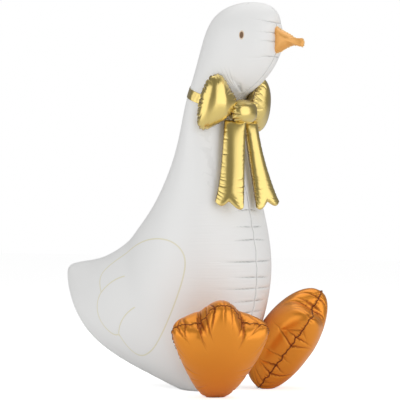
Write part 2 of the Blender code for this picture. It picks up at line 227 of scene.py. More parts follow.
def seam_pleats(level, grid, draw, spacing, reach, depth, width, lean=0.3, where=None):
    """Pleats across a cushion's seam, at uneven steps, each with its own length on both sheets."""
    rows, columns = grid.shape[:2]
    seam = rows // 2
    distance = seam_distance(grid, seam)
    steps = np.linalg.norm(np.roll(grid[seam], -1, axis=0) - grid[seam], axis=1)
    around = np.concatenate([[0], np.cumsum(steps)])
    places, place = [], 0.5 * spacing
    while place < around[-1] - 0.4 * spacing:
        places.append(place)
        place += spacing * draw.uniform(0.65, 1.35)
    for place in places:
        column = int(np.searchsorted(around, place)) % columns
        deep = depth * draw.uniform(0.5, 1.2)
        tilt = draw.uniform(-lean, lean)
        sheets = []
        for direction in (-1, 1):
            length = reach * draw.uniform(0.4, 1.3)
            path = []
            for row in range(seam, seam + direction * seam, direction * 2):
                away = distance[row, column]
                if away > length:
                    break
                shift = int(round(tilt * away / steps.mean()))
                path.append((grid[row, (column + shift) % columns], deep * (1 - away / length)))
            sheets.append(path)
        if where is not None and not where(grid[seam, column]):
            continue
        whole = sheets[0][::-1] + sheets[1][1:]
        if len(whole) > 1:
            press(level, grid, [p for p, _ in whole], [d for _, d in whole], width)
    print(len(places), "pleats across a seam", round(around[-1], 3), "m long")


# %% [markdown]
# Each balloon starts as a flat grid, whose vertices are carried to the places worked out for the
# foil. Its two sides then meet like a rolled sheet, its two ends close, and the doubles are
# merged. All faces are turned out, and numbers for the materials go onto the vertices.
# %% shaping a ball of foil
SKIN_GAP = 0.4 * MM


def deselect_all():
    if bpy.context.object and bpy.context.object.mode != 'OBJECT':
        bpy.ops.object.mode_set(mode='OBJECT')
    bpy.ops.object.select_all(action='DESELECT')


def face_outwards(piece):
    """Merge what meets, turn all faces out and shade them smooth."""
    deselect_all()
    piece.select_set(True)
    bpy.context.view_layer.objects.active = piece
    bpy.ops.object.mode_set(mode='EDIT')
    bpy.ops.mesh.select_all(action='SELECT')
    bpy.ops.mesh.remove_doubles(threshold=0.00001)
    bpy.ops.mesh.normals_make_consistent(inside=False)
    bpy.ops.object.mode_set(mode='OBJECT')
    bpy.ops.object.shade_smooth()
    triangles = sum(len(face.vertices) - 2 for face in piece.data.polygons)
    print(piece.name, triangles, "triangles")


def carry(piece, places):
    piece.data.vertices.foreach_set("co", np.asarray(places, np.float32).ravel())
    piece.data.update()


def paint(piece, name, values):
    """Store a number for each vertex, for a material to read."""
    layer = piece.data.attributes.new(name, 'FLOAT', 'POINT')
    layer.data.foreach_set("value", np.asarray(values, np.float32))


def foil_ball(name, grid, first, last, **numbers):
    """A grid rolled into a ball: rows of places that close round, and a place at each end."""
    rows, columns = grid.shape[:2]
    deselect_all()
    bpy.ops.mesh.primitive_grid_add(x_subdivisions=columns, y_subdivisions=rows + 1, size=2.0)
    piece = bpy.context.object
    piece.name = name
    flat = np.empty(len(piece.data.vertices) * 3, np.float32)
    piece.data.vertices.foreach_get("co", flat)
    share = (flat.reshape(-1, 3).astype(float) + 1) / 2
    column = np.rint(share[:, 0] * columns).astype(int) % columns
    row = np.rint(share[:, 1] * (rows + 1)).astype(int)
    inner = np.clip(row - 1, 0, rows - 1), column
    places = grid[inner]
    places[row == 0] = first
    places[row == rows + 1] = last
    carry(piece, places)
    for label, values in numbers.items():
        paint(piece, label, values[inner])
    face_outwards(piece)
    return piece


print("neighbours are kept", SKIN_GAP / MM, "mm apart")

# %% [markdown]
# To press a piece flat against its neighbour, the neighbour's skin is put in a search tree, and
# each place that lies behind that skin is moved out to it. This is quicker and surer than a
# Shrinkwrap modifier, because only the places that are inside may move.
# %% pressing a piece against its neighbours
SKIN_REACH = 120 * MM


def skin(piece):
    """A search tree of a finished piece, to press its neighbours against."""
    mesh = piece.data
    return BVHTree.FromPolygons([v.co for v in mesh.vertices],
                                [tuple(face.vertices) for face in mesh.polygons])


def clear_of(places, *trees, gap=SKIN_GAP, reach=SKIN_REACH):
    """Move each place that is inside a neighbour out to its skin.

    A place is inside when it lies straight behind the nearest skin, and not just past a fold.
    """
    flat = np.array(places, float).reshape(-1, 3)
    for tree in trees:
        for i, place in enumerate(flat):
            spot, normal, _, away = tree.find_nearest(Vector(place), reach)
            if spot is None:
                continue
            depth = (Vector(place) - spot).dot(normal)
            if depth < gap and (away < 2 * gap or depth < -0.7 * away):
                flat[i] = spot + normal * gap
    return flat.reshape(np.shape(places))


print("a place is looked at when a neighbour's skin is within", SKIN_REACH / MM, "mm")

# %% [markdown]
# The figure's mesh is finest along the seam and on the breast, where the creases are, and coarse
# on the smooth flanks. So the rings are spread by a density, and the columns crowd to the seams.
# %% the white figure's grid
FIGURE_ROWS, FIGURE_COLUMNS = 515, 192
SEAM_FINENESS = 0.70             # 0 spreads the columns evenly, 1 puts them all on the seams
FINE_BREAST, FINE_HEAD = (4.8, 7.1), (8.3, 12.5)   # the rings between which the mesh is finer

draw = np.random.default_rng(11)
fine = np.linspace(0, LAST_RING, 2000)
density = (1 + 2.6 * ((fine > FINE_BREAST[0]) & (fine < FINE_BREAST[1]))
           + 0.8 * ((fine > FINE_HEAD[0]) & (fine < FINE_HEAD[1])))
count = np.concatenate([[0], np.cumsum((density[1:] + density[:-1]) / 2)])
figure_rings = np.interp(np.linspace(0, count[-1], FIGURE_ROWS + 2)[1:-1], count, fine)
around = np.linspace(0, 2 * math.pi, FIGURE_COLUMNS, endpoint=False)
figure_turns = around - SEAM_FINENESS / 2 * np.sin(2 * around)
rings_grid, turns_grid = np.meshgrid(figure_rings, figure_turns, indexing="ij")
smooth_figure = world(*figure_point(rings_grid, turns_grid))
figure_out = outward(smooth_figure)
figure_level = np.zeros(smooth_figure.shape[:2])
print("figure grid", smooth_figure.shape[:2])


def laid(*places_mm, steps=14, side=1):
    """A path through places given as left, forward and up, laid onto the figure's skin."""
    places = np.array([world(*place) for place in np.array(places_mm) * (side, 1, 1) * MM])
    at = np.linspace(0, len(places) - 1, steps)
    path = np.stack([np.interp(at, range(len(places)), places[:, k]) for k in range(3)], axis=1)
    skin_places = smooth_figure.reshape(-1, 3)
    return np.array([skin_places[np.argmin(((skin_places - p) ** 2).sum(1))] for p in path])


def fade(count, lead=0.3):
    """Depth shares along a crease: two thirds at its start, soon full, none at its far end."""
    along = np.linspace(0, 1, count)
    return (2 + np.minimum(along / lead, 1)) / 3 * (1 - along) ** 0.8


# %% [markdown]
# Eight level creases cross the breast seam, where the foil is bent the other way by the bow's
# pull. They are deepest a little beside the seam. Between them stand finer ripples, one every
# 9 mm.
# %% creases across the breast
BREAST_RINGS = (4.6, 8.3)
BREAST_CREASES = (580, 525, 485, 415, 365, 330, 290, 255)   # heights in mm
CREASE_REACH_DEG = (30, 36, 38, 54, 36, 50, 34, 30)
CREASE_DEPTH = 5.0 * MM
CREASE_WIDTH = 2.5 * MM
RIPPLE_HEIGHTS_MM = (248, 592, 9.0)
RIPPLE_WIDTH = 2.2 * MM

for height, reach in zip(BREAST_CREASES, CREASE_REACH_DEG):
    for side in (-1, 1):
        far = math.radians(reach) * (1 if side < 0 else draw.uniform(0.7, 1.1))
        turns = np.linspace(0, side * far, 16)
        heights = height * MM + np.linspace(0, draw.uniform(-0.008, 0.002), 16)
        path = level_line(heights, turns, BREAST_RINGS)
        along = np.linspace(0, 1, 16)
        depths = CREASE_DEPTH * (0.4 + np.minimum(along * 4, 0.6)) * (1 - along ** 1.5)
        depths *= draw.uniform(0.75, 1.1)
        press(figure_level, smooth_figure, path, depths, CREASE_WIDTH)
for height in np.arange(*RIPPLE_HEIGHTS_MM):
    for side in (-1, 1):
        first, last = math.radians(draw.uniform(3, 24)), math.radians(draw.uniform(30, 50))
        level = np.full(10, height * MM + draw.uniform(-0.002, 0.002))
        path = level_line(level, side * np.linspace(first, last, 10), BREAST_RINGS)
        depths = draw.uniform(0.5, 1.2) * MM * fade(10)
        press(figure_level, smooth_figure, path, depths, RIPPLE_WIDTH)
print("the deepest crease is", round(-figure_level.min() / MM, 1), "mm")

# %% [markdown]
# The breast seam is a fine welded line that lies in a small groove. It steps from side to side
# at each crease. Under the belly, up the throat and down the back the same seam runs straight.
# %% the figure's seam
SEAM_JOG = 2.6 * MM
SEAM_DEPTH = 4.0 * MM
SEAM_WIDTH = 2.3 * MM
STRAIGHT_SEAMS = (
    # first and last ring, places between them, how many of these are pressed, turn, depth
    ((0.1, 4.6), 120, 120, 0.0, 2.0 * MM),        # under the belly
    ((8.2, 12.9), 80, 80, 0.0, 3.2 * MM),         # throat and chin
    ((0.1, 12.9), 300, 300, math.pi, 1.6 * MM),   # the whole back
    ((0.1, 12.9), 300, 50, math.pi, 3.6 * MM))    # the tail's end, deeper

heights = [900, 830, 760, 690, 620]
heights += [(a + b) / 2 for a, b in zip(BREAST_CREASES[:-1], BREAST_CREASES[1:])]
heights = sorted(set(heights) | set(BREAST_CREASES), reverse=True) + [215, 170, 120]
jogs = [SEAM_JOG * (-1) ** k * draw.uniform(0.4, 1.2) for k in range(len(heights))]
seam_path = [level_line(np.array([h * MM]), [0.0], (4.2, 9))[0] + (jog, 0, 0)
             for h, jog in zip(heights, jogs)]
press(figure_level, smooth_figure, seam_path, SEAM_DEPTH, SEAM_WIDTH)
for rings, count, pressed, turn, depth in STRAIGHT_SEAMS:
    path = world(*figure_point(np.linspace(*rings, count), np.full(count, turn)))
    press(figure_level, smooth_figure, path[:pressed], depth, SEAM_WIDTH)
print("the breast seam jogs", len(jogs), "times")

# %% [markdown]
# Other creases are few, and stand where the sheet is pulled: six run into the throat behind the
# bow, short ones stand round the beak, and one each crosses the crown, the nape and the tail.
# Beside the bow's tails the flank is hatched with faint strokes. The creases are the same on
# both sides, and the strokes are a little uneven.
# %% creases of the head, the neck and the tail
THROAT_CREASES = 6
THROAT_FROM_MM = ((100, 150, 1022), (74, 184, 988))   # the upper ends of the first and the last
THROAT_OVER_MM = ((62, 168, 985), (48, 180, 975))
THROAT_TO_MM = (20, 162, 955)
CREASES_MM = (
    # three places as left, forward and up, then depth and half-width
    ((0, 284, 1166), (40, 270, 1168), (66, 214, 1170), 4.0, 2.6),    # over the beak
    ((0, 284, 1131), (40, 270, 1133), (66, 226, 1135), 4.0, 2.6),
    ((0, 284, 1106), (40, 270, 1108), (66, 226, 1110), 4.0, 2.6),
    ((0, 284, 1056), (40, 270, 1058), (66, 205, 1060), 4.0, 2.6),    # under the beak
    ((4, 190, 1238), (40, 196, 1222), (74, 192, 1192), 3.0, 2.8),    # crown
    ((6, -28, 862), (60, -14, 848), (96, 10, 838), 4.0, 2.8),        # nape
    ((8, -190, 28), (70, -170, 56), (120, -150, 92), 4.0, 3.4))      # by the tail
STROKE_HEIGHTS_MM = (644, 860, 14.0)

for side in (-1, 1):
    for share in np.linspace(0, 1, THROAT_CREASES):
        start, over = ((1 - share) * np.array(first) + share * np.array(last)
                       for first, last in (THROAT_FROM_MM, THROAT_OVER_MM))
        path = laid(start, over, THROAT_TO_MM, steps=18, side=side)
        press(figure_level, smooth_figure, path[::-1], 3.6 * MM * fade(18), 2.2 * MM)
    for *places, deep, half in CREASES_MM:
        press(figure_level, smooth_figure, laid(*places, side=side), deep * MM * fade(14), half * MM)
    for up in np.arange(*STROKE_HEIGHTS_MM):
        forward = draw.uniform(78, 112) + (STROKE_HEIGHTS_MM[1] - up) * 0.12
        rise = draw.uniform(14, 26)
        path = laid((108, forward, up), (150, forward - 50, up + rise), steps=8, side=side)
        press(figure_level, smooth_figure, path, 1.8 * MM * fade(8), 2.6 * MM)
print(2 * (THROAT_CREASES + len(CREASES_MM)), "creases on the head, neck and tail")

# %% [markdown]
# Where the seam is curved, on the tail's end, the crown and under the belly, it is drawn up into
# short pleats on both sides. Down the straight back they are few and shallow.
# %% short pleats along the figure's seam
EDGE_PLEATS = (
    # first and last ring, turn, spacing, reach, depth, half-width
    ((0.15, 2.6), math.pi, 0.022, 0.030, 4.0 * MM, 2.8 * MM),
    ((2.6, 9.6), math.pi, 0.055, 0.050, 2.2 * MM, 3.4 * MM),
    ((9.6, 12.9), math.pi, 0.026, 0.034, 3.2 * MM, 2.8 * MM),
    ((0.15, 4.4), 0.0, 0.045, 0.060, 3.0 * MM, 3.6 * MM),
    ((8.3, 9.8), 0.0, 0.016, 0.034, 2.6 * MM, 2.6 * MM))
RING_WIDTH = 0.16                # how many metres of skin one unit of turn is, on the average


def edge_pleats(rings, turn, spacing, reach, depth, width):
    """Short pleats on both sides of the figure's seam, between two rings."""
    table = np.linspace(*rings, 400)
    line = world(*figure_point(table, np.full(400, turn)))
    length = np.concatenate([[0], np.cumsum(np.linalg.norm(np.diff(line, axis=0), axis=1))])
    place = spacing * draw.uniform(0.3, 0.9)
    while place < length[-1]:
        ring = np.interp(place, length, table)
        for side in (-1, 1):
            far = reach * draw.uniform(0.3, 1.3) / RING_WIDTH
            turns = turn + side * np.linspace(0, far, 10)
            drift = ring + np.linspace(0, draw.uniform(-0.08, 0.08), 10)
            path = world(*figure_point(drift, turns))
            depths = depth * draw.uniform(0.4, 1.1) * (1 - np.linspace(0, 1, 10))
            press(figure_level, smooth_figure, path, depths, width)
        place += spacing * draw.uniform(0.5, 1.6)


for pleats in EDGE_PLEATS:
    edge_pleats(*pleats)
figure_places = smooth_figure + figure_out * figure_level[..., None]
figure_places[..., 2] = np.maximum(figure_places[..., 2], 0)
print("the figure's places reach", *figure_places.reshape(-1, 3).max(0).round(3))

# %% [markdown]
# The wing is only a thin printed line, so it is colour and no relief. Its outline is drawn in the
# side view through a few places, in two smooth stretches that meet at two points. Each vertex
# stores how far it is from that line, outside counted up and inside down, and the material
# draws the line where that number passes through zero.
# %% the printed wing
WING_TOP_MM = ((-280, 310), (-300, 350), (-280, 390), (-190, 440), (-80, 480), (20, 485),
               (75, 452), (85, 390), (50, 285), (-15, 175), (-90, 120), (-150, 120), (-200, 181))
WING_BACK_MM = ((-200, 181), (-245, 183), (-288, 222), (-298, 270), (-280, 310))


def drawn(points):
    """A smooth open line through the points, as short straight steps."""
    return smooth_rows(np.array(points, float), np.linspace(0, len(points) - 1, 12 * len(points)))


wing_line = np.vstack([drawn(WING_TOP_MM), drawn(WING_BACK_MM)[1:]]) * MM


def distance_to_loop(forward, up, loop):
    """Distance to a closed line in the side view, below zero inside it."""
    nearest = np.full(forward.shape, np.inf)
    inside = np.zeros(forward.shape, bool)
    for (f0, u0), (f1, u1) in zip(loop, np.roll(loop, -1, axis=0)):
        df, du = f1 - f0, u1 - u0
        share = ((forward - f0) * df + (up - u0) * du) / max(df * df + du * du, 1e-12)
        share = np.clip(share, 0, 1)
        nearest = np.minimum(nearest, np.hypot(forward - f0 - share * df, up - u0 - share * du))
        crosses = (u0 > up) != (u1 > up)
        inside ^= crosses & (forward < f0 + (up - u0) * df / (du if du else 1e-12))
    return np.where(inside, -nearest, nearest)


forward, up = -smooth_figure[..., 1], smooth_figure[..., 2]
wing_distance = distance_to_loop(forward, up, wing_line)
print("wing line of", len(wing_line), "places,", round(np.ptp(wing_line[:, 0]) / MM), "mm long")

# %% [markdown]
# A fan of fine creases runs up from the throat behind the bow, where the neck is bent, and level
# ripples cross the breast. Both are finer than the mesh, so here each vertex only stores where
# they are, counted by the angle round the throat, and the material draws their relief. In the
# fan's lines it also paints shade, a grey.
# %% where the throat's fan and the breast's ripples are
FAN_MM = (166, 944)
FAN_ANGLES_DEG = (-46, 8)
FAN_SOFT_DEG = 5
FAN_LINES = 6
FAN_CURL = 9.0                   # lines that each metre away from the throat shifts the fan by
FAN_REACH_MM = (7, 14, 28, 92)
RIPPLE_FORWARD_MM = (30, 130)
RIPPLE_HEIGHT_MM = (160, 260, 840, 900)

first, last, soft = (math.radians(a) for a in (*FAN_ANGLES_DEG, FAN_SOFT_DEG))
fan_forward, fan_up = forward - FAN_MM[0] * MM, up - FAN_MM[1] * MM
fan_angle, fan_away = np.arctan2(fan_forward, fan_up), np.hypot(fan_forward, fan_up) / MM
fan_count = FAN_LINES * (fan_angle - first) / (last - first) + FAN_CURL * fan_away * MM
fan_share = (soft_step(fan_angle, first - soft, first + soft)
             * (1 - soft_step(fan_angle, last - soft, last + soft))
             * soft_step(fan_away, *FAN_REACH_MM[:2]) * (1 - soft_step(fan_away, *FAN_REACH_MM[2:])))
ripple_share = (soft_step(forward / MM, *RIPPLE_FORWARD_MM)
                * soft_step(up / MM, *RIPPLE_HEIGHT_MM[:2])
                * (1 - soft_step(up / MM, *RIPPLE_HEIGHT_MM[2:])))
goose = foil_ball("goose_foil", figure_places, world(0, *profile[0, :2]),
                  world(0, *profile[-1, :2]), wing_distance=wing_distance, fold=-figure_level,
                  fan_count=fan_count, fan_share=fan_share, ripple_share=ripple_share)
goose_skin = skin(goose)
print("the fan covers", round(float((fan_share > 0.5).mean()), 4), "of the figure's places")

# %% [markdown]
# The neck band is a thin ribbon of gold foil. It lies on the neck all round and slopes down to
# the knot, so it starts as a torus and each of its places is found on the figure's surface.
# %% neck band
BAND_WIDTH = 30 * MM
BAND_THICKNESS = 14 * MM
BAND_SUNK = 2 * MM
BAND_TILT = math.radians(22)
NAPE_MM = (-15, 964)
NECK_RINGS = (6.5, 10.5)
BAND_COLUMNS, BAND_ROWS = 260, 28

deselect_all()
bpy.ops.mesh.primitive_torus_add(major_segments=BAND_COLUMNS, minor_segments=BAND_ROWS,
                                 major_radius=1.0, minor_radius=0.25)
band = bpy.context.object
band.name = "band_foil"
ring_of_places = np.array([v.co for v in band.data.vertices])
band_turns = np.arctan2(ring_of_places[:, 1], ring_of_places[:, 0])
band_angles = np.arctan2(ring_of_places[:, 2], np.hypot(*ring_of_places[:, :2].T) - 1.0)
table = np.linspace(*NECK_RINGS, 240)
band_rings = np.empty(len(band_turns))
for turn in np.unique(np.round(band_turns, 5)):
    here = np.isclose(band_turns, turn, atol=1e-4)
    _, forward, up = figure_point(table, np.full_like(table, turn))
    past = ((forward - NAPE_MM[0] * MM) * math.sin(BAND_TILT)
            + (up - NAPE_MM[1] * MM) * math.cos(BAND_TILT))
    band_rings[here] = np.interp(BAND_WIDTH / 2 * np.sin(band_angles[here]), past, table)
here, ahead, beside = (np.stack(figure_point(band_rings + r, band_turns + t), axis=1)
                       for r, t in ((0, 0), (0.02, 0), (0, 0.02)))
out = np.cross(beside - here, ahead - here)
out /= np.linalg.norm(out, axis=1, keepdims=True)
lift = np.where(np.cos(band_angles) > 0, BAND_THICKNESS * np.cos(band_angles), -BAND_SUNK)
ripple = np.sin(23 * band_turns + 2 * np.sin(5 * band_turns)) * np.cos(band_angles)
band_places = world(*(here + out * (lift + 0.5 * MM * ripple)[:, None]).T)
paint(band, "seam_distance", 4 * MM + BAND_WIDTH * np.maximum(np.cos(band_angles), 0))
carry(band, clear_of(band_places, goose_skin))
face_outwards(band)
band_skin = skin(band)

# %% [markdown]
# Knot, loops, beak and feet are all cushions: a seam line with a sheet blown out on each side.
# One function makes them. Towards the middle the seam's corners fade, because air makes any
# shape rounder. Between two toes a groove is left, where the sheets are held together.
# %% cushions


def cushion_grid(outline, centre, across, along, normal, front, back, rows,
                 groove=0.0, core=None):
    """Rows of places from the back sheet's middle over the seam, the middle row, to the front's."""
    core = outline if core is None else core
    even = np.linspace(-1, 1, rows + 2)[1:-1]
    angles = math.pi / 2 * np.sign(even) * np.abs(even) ** 1.2
    grid = []
    for angle in angles:
        bulge = (front if angle > 0 else back) * math.sin(angle)
        level = bulge * (1 - groove * math.cos(angle) ** 6) * np.ones(len(outline))
        share = math.cos(angle) ** 4
        flat = (outline * share + core * (1 - share)) * math.cos(angle)
        grid.append(centre + flat[:, :1] * across + flat[:, 1:] * along + level[:, None] * normal)
    return np.array(grid)


def blown(name, grid, centre, normal, front, back, level, trees, draw,
          rim=1.5 * MM, weld=1.4 * MM, sway=1.2 * MM):
    """Press a cushion's pleats in, raise its thin wavy welded rim and seat it on its neighbours."""
    seam = grid.shape[0] // 2
    distance = seam_distance(grid, seam)
    around = np.linspace(0, 2 * math.pi, grid.shape[1], endpoint=False)
    wave = sum(np.sin(n * around + draw.uniform(0, 6)) for n in (17, 29, 41)) / 2
    raised = level + rim * np.exp(-(distance / weld) ** 2)
    places = grid + outward(grid) * raised[..., None]
    places += normal * (sway * wave * np.exp(-(distance / (6 * MM)) ** 2))[..., None]
    places = clear_of(places, *trees)
    ends = clear_of([centre - normal * back, centre + normal * front], *trees)
    return foil_ball(name, places, *ends, seam_distance=distance, fold=-level)


trial = cushion_grid(closed_curve(((1, 0), (0, 1), (-1, 0), (0, -1)), 8), np.zeros(3), *np.eye(3),
                     0.5, 0.5, 5)
print("a trial cushion", trial.shape[:2], "is", round(float(np.ptp(trial[..., 2])), 2), "thick")

# %% [markdown]
# The bow is tied in front of the band. It has slipped a little round the neck, so the whole bow
# is built on its own left and forward directions. Its tails lie on the breast, so a table is
# made first of how far forward the breast is, at each place to the side and each height.
# %% where the bow lies
BOW_TURN = math.radians(8)

UP = np.array((0, 0, 1.0))
bow_left = world(math.cos(BOW_TURN), math.sin(BOW_TURN), 0)
bow_ahead = world(-math.sin(BOW_TURN), math.cos(BOW_TURN), 0)

breast_sides = np.linspace(-0.19, 0.19, 96)
breast_heights = np.linspace(0.48, 0.98, 201)
row = smooth_rows(profile, np.linspace(5.0, 8.5, 281))
middle, half = (row[:, :2] + row[:, 2:4]) / 2, (row[:, 2:4] - row[:, :2]) / 2
breast_table = []
for side in breast_sides:
    slice_share = np.sqrt(np.clip(1 - (side / row[:, 4]) ** 2, 0, 1))
    breast_table.append(np.interp(breast_heights, middle[:, 1] + half[:, 1] * slice_share,
                                  middle[:, 0] + half[:, 0] * slice_share))
breast_table = np.array(breast_table)


def front_of_figure(side, up):
    """How far forward the breast or throat is, at places to the left and heights."""
    s = np.interp(side, breast_sides, np.arange(len(breast_sides)))
    u = np.interp(up, breast_heights, np.arange(len(breast_heights)))
    i = np.minimum(s.astype(int), len(breast_sides) - 2)
    j = np.minimum(u.astype(int), len(breast_heights) - 2)
    s, u = s - i, u - j
    return ((1 - s) * ((1 - u) * breast_table[i, j] + u * breast_table[i, j + 1])
            + s * ((1 - u) * breast_table[i + 1, j] + u * breast_table[i + 1, j + 1]))


print("the breast table holds", breast_table.shape, "places")

# %% [markdown]
# The bow's knot is a small hard-blown cushion with puckers all round, deepest at its right end
# where the loop pulls. It is wider than high and a little square, like a real knot.
# %% bow knot
KNOT_HALF = (55 * MM, 39 * MM, 36 * MM)
KNOT_DROP = 18 * MM
KNOT_SQUARENESS = 2.5
KNOT_LIFT = 6 * MM               # how far the band holds it off the throat
NECK_AXIS_MM, THROAT_HEIGHT_MM = 60, 900

throat_front = front_of_figure(0.0, THROAT_HEIGHT_MM * MM)
knot_height = (NAPE_MM[1] * MM - math.tan(BAND_TILT) * (throat_front - NAPE_MM[0] * MM)
               - KNOT_DROP)
knot_reach = throat_front - NECK_AXIS_MM * MM + KNOT_LIFT + KNOT_HALF[2]
knot = world(0, NECK_AXIS_MM * MM, knot_height) + knot_reach * bow_ahead
angles = np.linspace(0, 2 * math.pi, 240, endpoint=False)
power = KNOT_SQUARENESS
radius = (np.abs(np.cos(angles)) ** power + np.abs(np.sin(angles)) ** power) ** (-1 / power)
knot_outline = np.stack([radius * np.cos(angles) * KNOT_HALF[0],
                         radius * np.sin(angles) * KNOT_HALF[1]], axis=1)
knot_grid = cushion_grid(knot_outline, knot, bow_left, UP, bow_ahead,
                         KNOT_HALF[2], KNOT_HALF[2], 71)
knot_level = np.zeros(knot_grid.shape[:2])
draw = np.random.default_rng(5)
seam_pleats(knot_level, knot_grid, draw, 0.014, 0.030, 3.4 * MM, 2.2 * MM)
seam_pleats(knot_level, knot_grid, draw, 0.018, 0.036, 6.0 * MM, 3.0 * MM,
            where=lambda p: (p - knot) @ bow_left < -0.6 * KNOT_HALF[0])
knot_foil = blown("bow_knot_foil", knot_grid, knot, bow_ahead, KNOT_HALF[2], KNOT_HALF[2],
                  knot_level, (goose_skin, band_skin), draw)
knot_skin = skin(knot_foil)

# %% [markdown]
# Each loop is a flat bow tie half, blown up. The seam round it draws up into a row of beads,
# because its edge is curved all the way. The loops bend back round the neck, and each is drawn
# in where it enters the knot, so its end is thin there and lies inside the knot.
# %% bow loops
LOOP_OUTLINE = ((-0.05, 0.20), (0.11, 0.50), (0.33, 0.80), (0.54, 0.88), (0.77, 0.70),
                (0.94, 0.20), (0.96, -0.28), (0.80, -0.50), (0.45, -0.36), (0.11, -0.13))
LOOP_CENTRE = (0.58, 0.19)
LOOP_LENGTH = 128 * MM
LOOP_TUCK = 14 * MM
LOOP_DROP = -4 * MM
LOOP_FRONT = 41 * MM
LOOP_BACKS = (22 * MM, 37 * MM)     # of the right and the left loop
LOOP_PINCH = 0.6                 # how thick a loop still is where it enters the knot
LOOP_SWEEP, LOOP_LEAN = math.radians(28), math.radians(8)


def make_loop(name, sign, back, seed):
    out = sign * bow_left * math.cos(LOOP_SWEEP) - bow_ahead * math.sin(LOOP_SWEEP)
    level_face = sign * bow_left * math.sin(LOOP_SWEEP) + bow_ahead * math.cos(LOOP_SWEEP)
    along = UP * math.cos(LOOP_LEAN) + level_face * math.sin(LOOP_LEAN)
    face = level_face * math.cos(LOOP_LEAN) - UP * math.sin(LOOP_LEAN)
    end = knot + sign * bow_left * (KNOT_HALF[0] - LOOP_TUCK) - UP * LOOP_DROP
    middle = np.array(LOOP_CENTRE) * LOOP_LENGTH
    outline = closed_curve(np.array(LOOP_OUTLINE) * LOOP_LENGTH, 300) - middle
    centre = end + middle[0] * out + middle[1] * along
    grid = cushion_grid(outline, centre, out, along, face, LOOP_FRONT, back, 75)
    thickness = LOOP_PINCH + (1 - LOOP_PINCH) * soft_step((grid - end) @ out / LOOP_LENGTH, 0, 0.4)
    grid += (((thickness - 1) * ((grid - centre) @ face))[..., None]) * face
    level = np.zeros(grid.shape[:2])
    draw = np.random.default_rng(seed)
    seam_pleats(level, grid, draw, 0.015, 0.019, 5.0 * MM, 2.6 * MM)
    seam_pleats(level, grid, draw, 0.032, 0.034, 3.6 * MM, 2.2 * MM)
    seam_pleats(level, grid, draw, 0.012, 0.040, 4.4 * MM, 2.4 * MM,
                where=lambda p: (p - end) @ out < 0.25 * LOOP_LENGTH)
    return blown(name, grid, centre, face, LOOP_FRONT, back, level, (goose_skin, band_skin), draw)


loop_right = make_loop("bow_loop_right_foil", -1, LOOP_BACKS[0], 21)
loop_left = make_loop("bow_loop_left_foil", 1, LOOP_BACKS[1], 34)

# %% [markdown]
# A tail of the bow is two long sheets, narrow at the knot and forked at the end. Two grids
# do it: one is bulged forward and one back, and their edges are merged into one closed skin.
# They twist towards the goose's right, so the photograph shows them nearly flat on.
# %% the shape of the bow's tails
TAIL_LENGTH = 277 * MM
TAIL_HALF_WIDTHS = {-1: (36 * MM, 43 * MM), 1: (25 * MM, 47 * MM)}   # right tail, left tail
TAIL_BULGE = 18 * MM
TAIL_FLATNESS = 0.8
TAIL_SPREADS = {-1: (42 * MM, 80 * MM), 1: (54 * MM, 92 * MM)}
TAIL_NOTCH = 24 * MM
TAIL_SLANT = 9 * MM
TAIL_DRIFT = (5 * MM, 44 * MM)
TAIL_TWIST = math.radians(30)
TAIL_COLUMNS, TAIL_ROWS = 48, 150


def tail_place(sign, v, along, sheet):
    """A place on a tail: v from edge to edge, along from knot to fork, sheet 1 in front."""
    fork = 1 - (np.sqrt(v ** 2 + 0.02) - 0.06) / 0.62
    notch = TAIL_NOTCH * fork ** 2 * np.where(fork > 0, 1, 1.6)
    length = TAIL_LENGTH - (notch + sign * v * TAIL_SLANT) * along ** 3
    up = knot[2] - KNOT_HALF[1] * 0.7 - along * length
    (near_spread, far_spread), (near_half, far_half) = TAIL_SPREADS[sign], TAIL_HALF_WIDTHS[sign]
    spread = near_spread + (far_spread - near_spread) * along ** 1.2
    wide = near_half + (far_half - near_half) * along ** 2
    middle = sign * spread - TAIL_DRIFT[0] - (TAIL_DRIFT[1] - TAIL_DRIFT[0]) * along
    ahead = front_of_figure(middle, up)
    slope = (front_of_figure(middle + 0.01, up) - front_of_figure(middle - 0.01, up)) / 0.02
    resting = np.arctan(-slope)
    facing = TAIL_FLATNESS * resting - TAIL_TWIST
    lift = TAIL_BULGE + 2 * MM + wide * np.abs(np.sin(resting - facing))
    bulge = TAIL_BULGE * np.sqrt(np.clip((1 - v ** 2) * (1 - along ** 10), 0, 1))
    bulge = bulge * np.sqrt(np.clip(1 - (1 - along) ** 10, 0, 1))
    return world(middle + v * wide * np.cos(facing) + sheet * bulge * np.sin(facing),
                 ahead + lift - v * wide * np.sin(facing) + sheet * bulge * np.cos(facing), up)


for sign in (-1, 1):
    print("tail ends at", tail_place(sign, np.array(0.0), np.array(1.0), 1).round(3))

# %% [markdown]
# Each tail's two grids get short pleats in from both long edges, closer and longer on the lower
# half, where the real foil is more crumpled. Edge places stay as they are, so both sheets meet.
# %% bow tails


